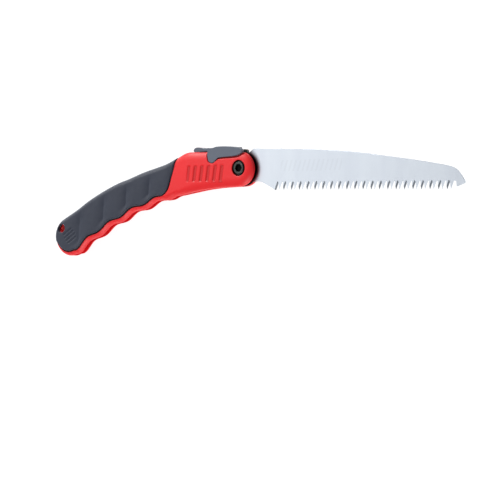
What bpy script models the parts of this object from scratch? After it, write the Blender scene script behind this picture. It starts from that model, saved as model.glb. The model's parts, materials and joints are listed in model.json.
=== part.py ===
"""Folding pruning saw, blade locked open, lying on its left side.

Frame: +X from the pivot to the tip of the blade, +Y to the spine, +Z to the right side of the saw.
The blade's pivot axis is the Z axis, and the left cheek lies on the plane Z = 0.
All sizes below are in millimetres and become metres where a mesh is made.
"""

import math

import bmesh
import bpy
from mathutils import Vector

MM = 0.001

# Handle: two shells that meet on the middle plane, with a slot for the blade between them
HALF_THICKNESS = 8.0  # middle plane to cheek, and the height of the middle plane above Z = 0
SLOT_HALF = 2.2
SEAM = 0.15  # half the gap between the shells' webs
GAP = 0.3  # between pieces that touch
FREE = 0.25  # round a pin that turns in its hole
OVER, UNDER = 12.0, -1.0  # heights past the shells' cheeks and past the middle plane, where cutters end
CHEEK_RIM = 2.6  # radius of the rounding along the cheeks' edges
GRIP_RIM = 4.6
GRIP_HALF_THICKNESS = 6.5
GRIP_CROWN = 0.5
GRIP_START, GRIP_FULL = 48.0, 66.0  # distances behind the nose where the cheek slims down to the grip

# Centre line of the handle from the nose to the tail, with its half heights towards spine and fingers
CENTRE_LINE = ((-1.0, -0.7), (-30.0, -1.1), (-58.0, -4.2), (-86.0, -11.6), (-112.0, -20.4),
               (-138.0, -31.2), (-163.0, -43.2), (-186.0, -54.2))
SPINE_HEIGHTS = ((0, 14.1), (30, 15.0), (50, 17.2), (60, 15.9), (73, 13.9), (85, 14.1), (100, 15.0),
                 (115, 15.5), (131, 17.0), (160, 17.5), (178, 16.3), (195, 15.9))
FINGER_HEIGHTS = ((0, 14.1), (30, 15.1), (60, 16.0), (78, 14.9), (95, 14.4), (120, 14.1), (150, 14.5),
                  (165, 14.8), (176, 15.6), (190, 17.6), (195, 17.2))
SCALLOP_START, SCALLOP_PITCH, SCALLOP_DEPTH = 77.8, 28.2, 1.25

# Rubber grips: inlays on the shells that wrap over the spine and leave a rim along the fingers
GRIP_PROUD = 0.8
GRIP_INLAY = 1.2  # depth of the inlay's bed below the shell's surface
BED_INSET = 1.6  # how far in from the spine the bed turns down
GRIP_RIM_WIDTH = 4.1
GRIP_FRONT = ((-62.0, 30.0), (-65.7, 8.5), (-67.6, 1.5), (-70.6, -7.0), (-73.0, -14.0), (-76.6, -19.2))
GRIP_RIM_START = 84.0  # distance behind the nose from which the rim along the fingers is bare
GRIP_TAIL_ANGLE = 196.0  # where the inlay's edge runs out over the tail

LANYARD_CENTRE, LANYARD_RADIUS, LANYARD_BOSS = (-193.2, -47.8), 3.6, 6.6
SCREW_PLACES = ((-57.0, 4.6), (-92.0, -4.4), (-128.0, -16.4), (-163.0, -32.0))
SCREW_RADIUS, SCREW_HEAD_RADIUS, SCREW_HEAD_DEPTH = 1.5, 2.8, 2.4
SCREW_SEAT = 3.6  # from the middle plane to the shoulder that a screw's head sits on
SCREW_REACH = 4.2  # how far past the middle plane a screw goes
SCREW_SLIT = (2.0, 0.4, 0.9)  # half length, half width and depth
# Roof of the blade's slot, from its step below the lever's tab to the tail
SLOT_ROOF = ((-34.0, 5.9), (-51.0, 5.9), (-60.0, -1.0), (-92.0, -10.4), (-128.0, -23.4), (-163.0, -39.0),
             (-180.0, -50.0))

# Pivot
HEAD_RECESS_RADIUS, HEAD_RECESS_DEPTH = 6.5, 3.5
BOLT_RADIUS, BOLT_HEAD_RADIUS, BOLT_HEAD_HEIGHT = 3.0, 5.1, 1.9
BOLT_HEAD_CHAMFER = 0.5
BOLT_END = -6.2  # height of the bolt's end, inside the blind nut
HEX_ACROSS_FLATS, HEX_FLOOR = 6.0, 0.4
LOCK_WASHER_RADIUS, LOCK_WASHER_TOP = 5.0, 1.0
SLEEVE_RADIUS = 4.0
WASHER_RADIUS, WASHER_THICKNESS = 7.6, 1.0
NUT_RADIUS, NUT_THICKNESS = 5.6, 3.2
SPANNER_HOLES, SPANNER_HOLE_RADIUS, SPANNER_HOLE_DEPTH = ((-3.9, 0.0), (3.9, 0.0)), 0.8, 1.2

# Blade, in its open place
BLADE_THICKNESS = 1.3
TANG_RADIUS = 12.0
NOTCH_FRONT, NOTCH_BACK, NOTCH_FLOOR = 4.9, -1.7, 10.2
FIRST_TOOTH = (31.9, -18.3)
TOOTH_COUNT, TOOTH_PITCH, TOOTH_HEIGHT = 44, 3.77, 6.6
GULLET_PLACE = 2.8  # from a tooth's tip to the bottom of the gullet after it
TOOTH_LINE_SLOPE = -0.0126
BLADE_SPINE = ((6.6, 15.9), (46.0, 14.7), (85.0, 12.4), (113.0, 9.7), (140.0, 6.0), (167.0, 2.1),
               (190.0, -1.9), (198.0, -4.6), (202.6, -9.0), (206.2, -14.2))
BLADE_TIP = ((206.2, -15.4), (204.7, -16.2), (199.1, -18.2), (198.6, -14.2))
BLADE_HEEL = ((28.5, -16.4), (23.5, -13.9), (18.6, -11.7), (14.6, -11.0), (9.6, -11.4))
FOLD_ANGLE = 158.0

# Lock lever, on a pin behind the pivot
LEVER_PIN = (-27.3, 8.9)
LEVER_PIN_RADIUS = 1.5
CORE_HALF_THICKNESS = 1.5
EAR_INNER, EAR_OUTER = 4.5, 7.8  # distances from the middle plane
EAR_LOBE_RADIUS = 4.2
TAB_HALF_WIDTH = 4.2
WALL_TOP = 12.7  # top of the shells' inner walls, which hold the lever's pin
SPRING_PLACE, SPRING_LOW, SPRING_LENGTH = -41.0, 8.0, 3.3
SPRING_RADIUS, SPRING_WIRE, SPRING_TURNS = 1.7, 0.3, 3.5

RED, RUBBER, LEVER_GREY = (0.72, 0.02, 0.025), (0.045, 0.05, 0.062), (0.14, 0.16, 0.18)
STEEL, DARK_STEEL = (0.72, 0.74, 0.77), (0.03, 0.03, 0.033)


# ---- Curves ----

def smooth(points, steps):
    """Points along the Catmull-Rom curve through the given points, steps to each stretch."""
    ends = [[2 * a - b for a, b in zip(points[0], points[1])]]
    tail = [[2 * a - b for a, b in zip(points[-1], points[-2])]]
    knots = ends + [list(p) for p in points] + tail
    curve = []
    for before, start, end, after in zip(knots, knots[1:], knots[2:], knots[3:]):
        for step in range(steps):
            t = step / steps
            curve.append(tuple(0.5 * (2 * b + (c - a) * t + (2 * a - 5 * b + 4 * c - d) * t * t
                                      + (3 * b - a - 3 * c + d) * t ** 3)
                               for a, b, c, d in zip(before, start, end, after)))
    curve.append(tuple(points[-1]))
    return curve


def read_curve(curve, at):
    """The second value of a curve of (place, value) pairs at a place."""
    for (x0, y0), (x1, y1) in zip(curve, curve[1:]):
        if at <= x1:
            return y0 + (y1 - y0) * max(0.0, (at - x0) / (x1 - x0))
    return curve[-1][1]


def ease(low, high, at):
    """Rises smoothly from 0 to 1 between two places."""
    t = min(1.0, max(0.0, (at - low) / (high - low)))
    return t * t * (3 - 2 * t)


def arc(centre, radius, start, end, steps):
    """Points on an arc, from one angle in degrees to another."""
    turn = [math.radians(start + (end - start) * i / steps) for i in range(steps + 1)]
    return [(centre[0] + radius * math.cos(a), centre[1] + radius * math.sin(a)) for a in turn]


def circle(centre, radius, sides):
    return arc(centre, radius, 0, 360 - 360 / sides, sides - 1)


def turned(points, degrees):
    """The points turned about the pivot."""
    c, s = math.cos(math.radians(degrees)), math.sin(math.radians(degrees))
    return [(x * c - y * s, x * s + y * c) for x, y in points]


def bearing(point):
    """Direction of a point from the pivot, in degrees from 0 to 360."""
    return math.degrees(math.atan2(point[1], point[0])) % 360


# ---- Meshes ----

def material(name, colour, roughness, metallic=0.0):
    made = bpy.data.materials.get(name) or bpy.data.materials.new(name)
    made.use_nodes = True
    shader = made.node_tree.nodes["Principled BSDF"]
    shader.inputs["Base Color"].default_value = (*colour, 1.0)
    shader.inputs["Roughness"].default_value = roughness
    shader.inputs["Metallic"].default_value = metallic
    return made


def new_object(name, mesh, look=None, origin=(0.0, 0.0)):
    """An object whose mesh is in the saw's frame, in millimetres from its middle plane, with its
    origin on the given axis."""
    shift = Vector((origin[0], origin[1], 0.0))
    bmesh.ops.remove_doubles(mesh, verts=mesh.verts, dist=1e-4)
    bmesh.ops.recalc_face_normals(mesh, faces=mesh.faces)
    bmesh.ops.translate(mesh, verts=mesh.verts, vec=-shift)
    bmesh.ops.scale(mesh, verts=mesh.verts, vec=(MM, MM, MM))
    data = bpy.data.meshes.new(name)
    mesh.to_mesh(data)
    mesh.free()
    made = bpy.data.objects.new(name, data)
    bpy.context.scene.collection.objects.link(made)
    made.location = (shift + Vector((0, 0, HALF_THICKNESS))) * MM
    if look:
        data.materials.append(look)
    return made


def cutter(name, mesh):
    made = new_object(name, mesh)
    made.hide_render = True
    made.display_type = "WIRE"
    return made


def boolean(target, tool, operation="DIFFERENCE"):
    step = target.modifiers.new(tool.name, "BOOLEAN")
    step.operation = operation
    step.solver = "EXACT"
    step.object = tool
    joined = target.modifiers.new(tool.name + "_weld", "WELD")
    joined.merge_threshold = 5e-6


def rounded(target, width, segments=2, angle=40):
    step = target.modifiers.new("rounded edges", "BEVEL")
    step.width = width * MM
    step.segments = segments
    step.limit_method = "ANGLE"
    step.angle_limit = math.radians(angle)


def prism(outline, low, high):
    """The outline extruded between two heights from the middle plane."""
    mesh = bmesh.new()
    base = mesh.faces.new([mesh.verts.new((x, y, low)) for x, y in outline])
    top = bmesh.ops.extrude_face_region(mesh, geom=[base])["geom"]
    moved = [v for v in top if isinstance(v, bmesh.types.BMVert)]
    bmesh.ops.translate(mesh, verts=moved, vec=(0, 0, high - low))
    return mesh


def turned_profile(profile, centre=(0.0, 0.0), sides=32):
    """A solid of revolution about an axis along Z, from its closed (radius, height) profile."""
    mesh = bmesh.new()
    rings = []
    for side in range(sides):
        c, s = math.cos(2 * math.pi * side / sides), math.sin(2 * math.pi * side / sides)
        rings.append([mesh.verts.new((centre[0] + r * c, centre[1] + r * s, z)) for r, z in profile])
    for ring, following in zip(rings, rings[1:] + rings[:1]):
        for k in range(len(profile)):
            n = (k + 1) % len(profile)
            mesh.faces.new((ring[k], following[k], following[n], ring[n]))
    return mesh


def cylinder(centre, radius, low, high, sides=32):
    return prism(circle(centre, radius, sides), low, high)


def mirrored(mesh):
    """The same mesh on the other side of the middle plane."""
    bmesh.ops.scale(mesh, verts=mesh.verts, vec=(1, 1, -1))
    bmesh.ops.reverse_faces(mesh, faces=mesh.faces)
    return mesh


# ---- Handle ----

class HandleShape:
    """The handle's outline as rays from its centre line, and its thickness along them."""

    def __init__(self, steps, fan):
        self.centres = smooth(CENTRE_LINE, steps)
        self.spine = smooth(SPINE_HEIGHTS, 4)
        self.fingers = smooth(FINGER_HEIGHTS, 4)
        self.fan = fan
        self.rays = self.make_rays(fan)

    def make_rays(self, fan):
        """Each ray as (centre number, distance from the nose, edge point), round the handle from the
        nose along the spine to the tail and back along the fingers."""
        upper, lower, along = [], [], 0.0
        for i, centre in enumerate(self.centres):
            before = self.centres[max(i - 1, 0)]
            after = self.centres[min(i + 1, len(self.centres) - 1)]
            if i:
                along += math.dist(before, centre)
            tangent = Vector((after[0] - before[0], after[1] - before[1])).normalized()
            outward = Vector((tangent.y, -tangent.x))
            point = Vector(centre)
            upper.append((i, along, tuple(point + outward * read_curve(self.spine, along))))
            lower.append((i, along, tuple(point - outward * self.finger_height(along))))
        last = len(self.centres) - 1
        tail = self.end_arc(last, upper[-1][2], lower[-1][2], fan)
        nose = self.end_arc(0, lower[0][2], upper[0][2], fan)
        return (upper + [(last, along, p) for p in tail] + lower[::-1]
                + [(0, 0.0, p) for p in nose])

    def finger_height(self, along):
        """Distance from the centre line to the scalloped edge on the fingers' side."""
        wave = math.cos(2 * math.pi * (along - SCALLOP_START) / SCALLOP_PITCH)
        depth = SCALLOP_DEPTH * ease(SCALLOP_START - SCALLOP_PITCH / 2, SCALLOP_START, along)
        return read_curve(self.fingers, along) + depth * wave

    def end_arc(self, centre_number, start, end, fan):
        """Points round an end of the handle between two edge points, anticlockwise."""
        x0, y0 = self.centres[centre_number]
        a0, a1 = (math.atan2(y - y0, x - x0) for x, y in (start, end))
        r0, r1 = (math.dist((x0, y0), p) for p in (start, end))
        span = (a1 - a0) % (2 * math.pi)
        points = []
        for k in range(1, fan + 1):
            t = k / (fan + 1)
            radius = r0 + (r1 - r0) * ease(0, 1, t)
            points.append((x0 + radius * math.cos(a0 + span * t), y0 + radius * math.sin(a0 + span * t)))
        return points

    @staticmethod
    def height(along, depth, reach):
        """Half thickness at a depth in from the edge, on a ray of the given reach."""
        slim = ease(GRIP_START, GRIP_FULL, along)
        face = HALF_THICKNESS + (GRIP_HALF_THICKNESS - HALF_THICKNESS) * slim
        rim = CHEEK_RIM + (GRIP_RIM - CHEEK_RIM) * slim
        crown = GRIP_CROWN * slim * (1 - (1 - min(1.0, depth / reach)) ** 2)
        inside = max(0.0, 1 - depth / rim)
        return face - rim + rim * math.sqrt(1 - inside * inside) + crown

    def solid(self, floor, inset=0.0, lift=0.0):
        """Half of the handle above the given height, drawn in by inset and raised by lift."""
        mesh = bmesh.new()
        hubs = {}
        rows = []
        for number, along, edge in self.rays:
            centre = Vector(self.centres[number])
            reach = (Vector(edge) - centre).length
            inward = (centre - Vector(edge)) / reach
            rim = CHEEK_RIM + (GRIP_RIM - CHEEK_RIM) * ease(GRIP_START, GRIP_FULL, along)
            depths = [rim * (1 - math.cos(math.radians(a))) for a in (0, 25, 50, 90)]
            depths += [rim + (reach - inset - rim) * 0.5]
            row = [mesh.verts.new((*(Vector(edge) + inward * inset), floor))]
            for depth in depths:
                place = Vector(edge) + inward * (depth + inset)
                row.append(mesh.verts.new((*place, self.height(along, depth, reach - inset) + lift)))
            if number not in hubs:
                top = self.height(along, reach, reach) + lift
                hubs[number] = mesh.verts.new((*centre, top))
            rows.append(row + [hubs[number]])
        for row, following in zip(rows, rows[1:] + rows[:1]):
            for k in range(len(row) - 1):
                corners = [row[k], following[k], following[k + 1], row[k + 1]]
                if corners[2] == corners[3]:
                    corners.pop()
                mesh.faces.new(corners)
        mesh.faces.new([row[0] for row in rows])
        bmesh.ops.triangulate(mesh, faces=mesh.faces)
        return mesh

    def grip_outline(self, shrink):
        """The rubber inlay's outline, drawn in by shrink. It runs out past the spine and the tail."""
        front = [(x - shrink, y) for x, y in smooth(GRIP_FRONT, 3)]
        edge = []
        tail = Vector(self.centres[-1])
        for number, along, point in reversed(self.rays[:-self.fan]):
            centre, place = Vector(self.centres[number]), Vector(point)
            angle = bearing(place - tail)
            past_end = number == len(self.centres) - 1 and angle < GRIP_TAIL_ANGLE
            if place.y < centre.y and along > GRIP_RIM_START and not past_end:
                edge.append(place + (centre - place).normalized() * (GRIP_RIM_WIDTH + shrink))
        edge = [tuple((a + b) / 2) for a, b in zip(edge, edge[1:])]
        beyond = tail.x - 40.0
        return front + edge + [(beyond, tail.y - 6.0 + shrink), (beyond, 30.0)]


def ear_pocket(side):
    """The pocket for the lever's ear in a cheek. The left ear and its pocket are shorter."""
    lobe = [(-32.9, 30.0), (-32.9, 11.0), *arc(LEVER_PIN, EAR_LOBE_RADIUS + 0.4, 190, 300, 6), (-20.5, 7.7)]
    if side == "left":
        return lobe + [(-11.0, 7.9), (-7.4, 9.6), (-5.4, 13.0), (-4.0, 30.0)]
    return lobe + [(-5.5, 8.3), (0.2, 8.9), (3.4, 11.0), (5.3, 13.2), (8.0, 30.0)]


def slot_outline():
    """The blade's slot seen from the side: open to the fingers, the nose and the tail."""
    boss = arc(LANYARD_CENTRE, LANYARD_BOSS, -20, -135, 6)
    return ([(30.0, 40.0), (-33.0, 40.0), SLOT_ROOF[0]] + smooth(SLOT_ROOF[1:], 3) + boss
            + [(-212.0, -58.0), (-212.0, -90.0), (30.0, -90.0)])


def pivot_bore(side):
    """The bolt's hole in a shell, with the recess for its head or its nut."""
    recess = HEAD_RECESS_RADIUS if side == "right" else NUT_RADIUS + GAP
    seat = HALF_THICKNESS - (HEAD_RECESS_DEPTH if side == "right" else NUT_THICKNESS + GAP)
    return turned_profile([(0.0, 0.0), (BOLT_RADIUS + GAP, 0.0), (BOLT_RADIUS + GAP, seat), (recess, seat),
                           (recess, OVER), (0.0, OVER)])


def screw_hole(side, place):
    """A screw's blind hole in the right shell, or its stepped hole through the left one."""
    thin, wide = SCREW_RADIUS + GAP, SCREW_HEAD_RADIUS + GAP
    if side == "right":
        return cylinder(place, thin, UNDER, SCREW_REACH + 0.4, 16)
    profile = [(0.0, UNDER), (thin, UNDER), (thin, SCREW_SEAT), (wide, SCREW_SEAT), (wide, OVER), (0.0, OVER)]
    return turned_profile(profile, place, 16)


def shell_cuts(side):
    """What is cut from a shell apart from the grip's bed, as (name, mesh) pairs seen from its own side."""
    wall = [(-33.2, WALL_TOP), (5.3, WALL_TOP), (5.3, 30.0), (-33.2, 30.0)]
    tab = [(-50.0, 7.4), (-33.0, 7.4), (-33.0, 30.0), (-50.0, 30.0)]
    return [("slot", prism(slot_outline(), UNDER, SLOT_HALF)),
            ("ear_pocket", prism(ear_pocket(side), EAR_INNER - GAP, OVER)),
            ("wall_cut", prism(wall, UNDER, EAR_INNER + 0.5)),
            ("tab_pocket", prism(tab, UNDER, TAB_HALF_WIDTH + 0.5)),
            ("pin_hole", cylinder(LEVER_PIN, LEVER_PIN_RADIUS + FREE, 1.0, 5.0, 16)),
            ("lanyard", cylinder(LANYARD_CENTRE, LANYARD_RADIUS, UNDER, OVER, 24)),
            ("pivot_bore", pivot_bore(side))]


def build_handle(looks):
    shape = HandleShape(steps=5, fan=9)
    bed_shape = HandleShape(steps=4, fan=7)
    for side in ("right", "left"):
        def on_side(mesh, flip=side == "left"):
            return mirrored(mesh) if flip else mesh

        shell = new_object(f"handle_shell_{side}", on_side(shape.solid(SEAM)), looks["red"])
        bed = cutter(f"bed_{side}", on_side(prism(shape.grip_outline(0.0), UNDER, OVER)))
        core = cutter(f"bed_core_{side}", on_side(bed_shape.solid(2 * UNDER, BED_INSET, -GRIP_INLAY)))
        boolean(bed, core)
        boolean(shell, bed)
        for name, mesh in shell_cuts(side):
            boolean(shell, cutter(f"{name}_{side}", on_side(mesh)))
        grip = new_object(f"grip_{side}", on_side(shape.solid(SEAM, 0.0, GRIP_PROUD)), looks["rubber"])
        keep = cutter(f"grip_edge_{side}", on_side(prism(shape.grip_outline(GAP), UNDER, OVER)))
        boolean(grip, keep, "INTERSECT")
        inside = bed_shape.solid(2 * UNDER, BED_INSET - GAP, GAP - GRIP_INLAY)
        boolean(grip, cutter(f"grip_inside_{side}", on_side(inside)))
        hole = cylinder(LANYARD_CENTRE, LANYARD_RADIUS + 0.5, UNDER, OVER, 24)
        boolean(grip, cutter(f"grip_hole_{side}", on_side(hole)))
        for number, place in enumerate(SCREW_PLACES, 1):
            tool = cutter(f"screw_hole_{side}_{number}", on_side(screw_hole(side, place)))
            boolean(shell, tool)
            if side == "left" and number > 1:
                boolean(grip, tool)


# ---- Pivot and screws ----

def tube(inner, outer, low, high):
    return turned_profile([(inner, low), (outer, low), (outer, high), (inner, high)])


def build_pivot(looks):
    seat = HALF_THICKNESS - HEAD_RECESS_DEPTH
    shoulder = seat + LOCK_WASHER_TOP + GAP
    top = shoulder + BOLT_HEAD_HEIGHT
    profile = [(0.0, BOLT_END), (BOLT_RADIUS, BOLT_END), (BOLT_RADIUS, shoulder), (BOLT_HEAD_RADIUS, shoulder),
               (BOLT_HEAD_RADIUS, top - BOLT_HEAD_CHAMFER), (BOLT_HEAD_RADIUS - BOLT_HEAD_CHAMFER, top),
               (0.0, top)]
    bolt = new_object("pivot_bolt", turned_profile(profile), looks["dark"])
    hexagon = circle((0.0, 0.0), HEX_ACROSS_FLATS / math.sqrt(3), 6)
    boolean(bolt, cutter("hex_socket", prism(hexagon, shoulder + HEX_FLOOR, OVER)))
    free = BOLT_RADIUS + GAP
    lock_washer = tube(free, LOCK_WASHER_RADIUS, seat + GAP, seat + LOCK_WASHER_TOP)
    new_object("lock_washer", lock_washer, looks["steel"])
    face, back = -HALF_THICKNESS, NUT_THICKNESS - HALF_THICKNESS
    profile = [(0.0, face), (NUT_RADIUS, face), (NUT_RADIUS, back), (free, back), (free, BOLT_END - GAP),
               (0.0, BOLT_END - GAP)]
    nut = new_object("pivot_nut", turned_profile(profile), looks["dark"])
    for number, place in enumerate(SPANNER_HOLES, 1):
        hole = cylinder(place, SPANNER_HOLE_RADIUS, face - 1.0, face + SPANNER_HOLE_DEPTH, 12)
        boolean(nut, cutter(f"spanner_hole_{number}", hole))
    half = SLOT_HALF - GAP
    new_object("pivot_sleeve", tube(free, SLEEVE_RADIUS, -half, half), looks["steel"])
    space = (SLOT_HALF - BLADE_THICKNESS / 2 - WASHER_THICKNESS) / 2
    inner = BLADE_THICKNESS / 2 + space
    for side, low in (("right", inner), ("left", -inner - WASHER_THICKNESS)):
        washer = tube(SLEEVE_RADIUS + GAP, WASHER_RADIUS, low, low + WASHER_THICKNESS)
        new_object(f"blade_washer_{side}", washer, looks["steel"])


def build_screws(looks):
    half_length, half_width, depth = SCREW_SLIT
    shoulder = -SCREW_SEAT - GAP
    low = shoulder + 0.6 - SCREW_HEAD_DEPTH
    for number, (x, y) in enumerate(SCREW_PLACES, 1):
        profile = [(0.0, low), (SCREW_HEAD_RADIUS, low), (SCREW_HEAD_RADIUS, shoulder),
                   (SCREW_RADIUS, shoulder), (SCREW_RADIUS, SCREW_REACH), (0.0, SCREW_REACH)]
        mesh = turned_profile(profile, (x, y), 16)
        screw = new_object(f"shell_screw_{number}", mesh, looks["dark"], (x, y))
        slit = [(x - half_length, y - half_width), (x + half_length, y - half_width),
                (x + half_length, y + half_width), (x - half_length, y + half_width)]
        boolean(screw, cutter(f"screw_slot_{number}", prism(slit, low - 1.0, low + depth)))


# ---- Blade ----

def tooth_line(x):
    return FIRST_TOOTH[1] + TOOTH_LINE_SLOPE * (x - FIRST_TOOTH[0])


def lock_notch(degrees):
    """The notch in the tang that the lever's hook drops into when the blade has turned this far."""
    front, back = ((x, math.sqrt(TANG_RADIUS ** 2 - x ** 2)) for x in (NOTCH_FRONT, NOTCH_BACK))
    return turned([front, (NOTCH_FRONT - 0.1, NOTCH_FLOOR), (NOTCH_BACK + 0.2, NOTCH_FLOOR), back], degrees)


def blade_outline():
    """Anticlockwise from the front of the open notch: round tang, heel, teeth, tip and spine."""
    open_notch, closed_notch = lock_notch(0.0), lock_notch(FOLD_ANGLE)
    outline = [(5.6, 12.3)] + open_notch
    outline += arc((0, 0), TANG_RADIUS, bearing(open_notch[-1]), bearing(closed_notch[0]), 12)[1:-1]
    outline += closed_notch
    outline += arc((0, 0), TANG_RADIUS, bearing(closed_notch[-1]), 285.0, 3)[1:]
    outline += BLADE_HEEL[::-1]
    for number in range(TOOTH_COUNT):
        x = FIRST_TOOTH[0] + TOOTH_PITCH * number
        outline += [(x, tooth_line(x)), (x + GULLET_PLACE, tooth_line(x) + TOOTH_HEIGHT)]
    outline += BLADE_TIP[::-1]
    outline += smooth(BLADE_SPINE, 3)[::-1]
    return outline


def build_blade(looks):
    half = BLADE_THICKNESS / 2
    blade = new_object("blade", prism(blade_outline(), -half, half), looks["blade"])
    boolean(blade, cutter("blade_bore", cylinder((0, 0), SLEEVE_RADIUS + 0.2, -SLOT_HALF, SLOT_HALF)))


# ---- Lock lever ----

def build_lever(looks):
    """The steel core, whose hook drops into the tang's notch, and the moulded cap over it."""
    half = CORE_HALF_THICKNESS
    hook = [(-1.2, 13.3), (-1.2, 12.3), (4.3, 12.3), (4.3, 14.3), (3.2, 15.3), (0.2, 15.3), (-1.6, 14.8)]
    tail = [(-45.0, 14.8), (-45.0, 12.4), (-34.0, 12.0)]
    eye = arc(LEVER_PIN, 3.4, 170, 330, 8)
    outline = hook + tail + eye + [(-19.0, 10.6), (-8.0, 12.4), (-3.0, 13.3)]
    core = new_object("lever_core", prism(outline, -half, half), looks["dark"], LEVER_PIN)
    bore = cylinder(LEVER_PIN, LEVER_PIN_RADIUS + FREE, -2 * half, 2 * half, 16)
    boolean(core, cutter("core_bore", bore))
    ear_top = [(3.6, 14.0), (2.8, 15.3), (-0.4, 16.5), (-6.5, 17.6), (-18.8, 18.0), (-23.0, 17.8),
               (-27.0, 16.9), (-31.9, 17.5)]
    ear_bottom = [(-20.6, 8.9), (-5.5, 9.8), (-0.6, 10.6), (2.2, 12.4)]
    ear = [(-31.9, 11.0), *arc(LEVER_PIN, EAR_LOBE_RADIUS, 200, 305, 5), *ear_bottom, *ear_top]
    cap = new_object("lever_cap", prism(ear, -EAR_OUTER, EAR_OUTER), looks["lever"], LEVER_PIN)
    rounded(cap, 0.7)
    short_front = [(-13.0, 5.0), (-10.6, 9.6), (-8.4, 12.0), (-7.4, 14.6), (-8.2, 16.6), (-11.0, 20.0),
                   (10.0, 20.0), (10.0, 5.0)]
    boolean(cap, cutter("left_ear_front", prism(short_front, -OVER, 0.2 - EAR_INNER)))
    channel = [(-50.0, -5.0), (10.0, -5.0), (10.0, 30.0), (-3.2, 30.0), (-3.2, 15.1), (-50.0, 15.1)]
    boolean(cap, cutter("cap_channel", prism(channel, -EAR_INNER, EAR_INNER)))
    tab = [(-27.0, 15.1), (-33.0, 14.4), (-45.0, 13.9), (-48.2, 14.1), (-48.9, 15.2), (-48.6, 16.5),
           (-46.8, 17.7), (-44.2, 18.1), (-41.6, 17.7), (-38.6, 16.9), (-34.0, 16.8), (-30.0, 17.2),
           (-27.0, 16.8)]
    boolean(cap, cutter("cap_tab", prism(tab, -TAB_HALF_WIDTH, TAB_HALF_WIDTH)), "UNION")
    room = [(-45.4, 10.0), (6.0, 10.0), (6.0, 15.1), (-45.4, 15.1)]
    boolean(cap, cutter("core_room", prism(room, -half - GAP, half + GAP)))


def build_lever_fittings(looks):
    """The lever's pin, and the coil spring that stands on the slot's roof under the thumb tab."""
    reach = EAR_INNER - GAP
    pin = cylinder(LEVER_PIN, LEVER_PIN_RADIUS, -reach, reach, 16)
    new_object("lever_pin", pin, looks["steel"], LEVER_PIN)
    curve = bpy.data.curves.new("lever_spring", "CURVE")
    curve.dimensions = "3D"
    curve.bevel_depth = SPRING_WIRE * MM
    curve.bevel_resolution = 0
    curve.use_fill_caps = True
    per_turn = 10
    count = int(SPRING_TURNS * per_turn)
    line = curve.splines.new("POLY")
    line.points.add(count)
    for k, point in enumerate(line.points):
        angle = 2 * math.pi * k / per_turn
        place = Vector((math.cos(angle) * SPRING_RADIUS, SPRING_LOW + SPRING_LENGTH * k / count,
                        math.sin(angle) * SPRING_RADIUS))
        point.co = (*place * MM, 1.0)
    spring = bpy.data.objects.new("lever_spring", curve)
    spring.location = (SPRING_PLACE * MM, 0.0, HALF_THICKNESS * MM)
    curve.materials.append(looks["steel"])
    bpy.context.scene.collection.objects.link(spring)


def main():
    for old in list(bpy.data.objects):
        bpy.data.objects.remove(old, do_unlink=True)
    looks = {
        "red": material("red_plastic", RED, 0.32),
        "rubber": material("grip_rubber", RUBBER, 0.6),
        "lever": material("lever_plastic", LEVER_GREY, 0.45),
        "blade": material("blade_steel", STEEL, 0.28, 1.0),
        "steel": material("bright_steel", STEEL, 0.3, 1.0),
        "dark": material("black_steel", DARK_STEEL, 0.4, 0.6),
    }
    build_handle(looks)
    build_pivot(looks)
    build_screws(looks)
    build_blade(looks)
    build_lever(looks)
    build_lever_fittings(looks)


main()
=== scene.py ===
"""Looks of the folding pruning saw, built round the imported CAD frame.

Shapes are worked out in millimetres from the blade's pivot, with heights from the saw's middle plane.
Each mesh is scaled to metres and put in its place in the frame as it is made.
"""

import json
import math

import bmesh
import bpy
from mathutils import Matrix, Vector
from mathutils.bvhtree import BVHTree


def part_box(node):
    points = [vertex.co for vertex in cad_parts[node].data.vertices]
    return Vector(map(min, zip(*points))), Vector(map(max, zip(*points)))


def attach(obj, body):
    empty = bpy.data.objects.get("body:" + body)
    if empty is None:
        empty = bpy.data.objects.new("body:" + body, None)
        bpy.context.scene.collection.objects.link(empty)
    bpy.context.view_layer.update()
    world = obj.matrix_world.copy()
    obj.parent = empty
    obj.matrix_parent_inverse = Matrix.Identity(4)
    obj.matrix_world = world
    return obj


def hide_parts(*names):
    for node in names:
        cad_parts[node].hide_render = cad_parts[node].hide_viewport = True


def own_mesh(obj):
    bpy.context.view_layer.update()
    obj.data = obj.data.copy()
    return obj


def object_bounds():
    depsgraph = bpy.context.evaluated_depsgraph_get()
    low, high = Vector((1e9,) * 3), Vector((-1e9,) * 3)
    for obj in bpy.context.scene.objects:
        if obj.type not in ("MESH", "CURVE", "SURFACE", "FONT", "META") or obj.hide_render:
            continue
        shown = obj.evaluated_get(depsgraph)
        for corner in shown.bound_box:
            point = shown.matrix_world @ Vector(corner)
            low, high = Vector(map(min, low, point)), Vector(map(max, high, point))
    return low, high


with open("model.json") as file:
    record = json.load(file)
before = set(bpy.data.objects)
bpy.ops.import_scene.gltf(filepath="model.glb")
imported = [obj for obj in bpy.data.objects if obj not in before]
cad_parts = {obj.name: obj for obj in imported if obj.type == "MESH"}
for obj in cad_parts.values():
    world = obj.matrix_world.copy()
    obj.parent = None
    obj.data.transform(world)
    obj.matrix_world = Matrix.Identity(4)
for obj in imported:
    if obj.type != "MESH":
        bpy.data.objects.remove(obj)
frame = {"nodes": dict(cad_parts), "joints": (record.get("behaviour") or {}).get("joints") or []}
cad_box = [list(corner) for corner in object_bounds()]

MM = 0.001
JOINTS = {joint["name"]: joint for joint in frame["joints"]}
PIVOT = Vector(JOINTS["blade_fold"]["pos_m"])
LEVER_PIN = tuple((Vector(JOINTS["lever_press"]["pos_m"]) - PIVOT).xy / MM)
FOLD_ANGLE = JOINTS["blade_fold"]["range_deg"][1]

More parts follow.
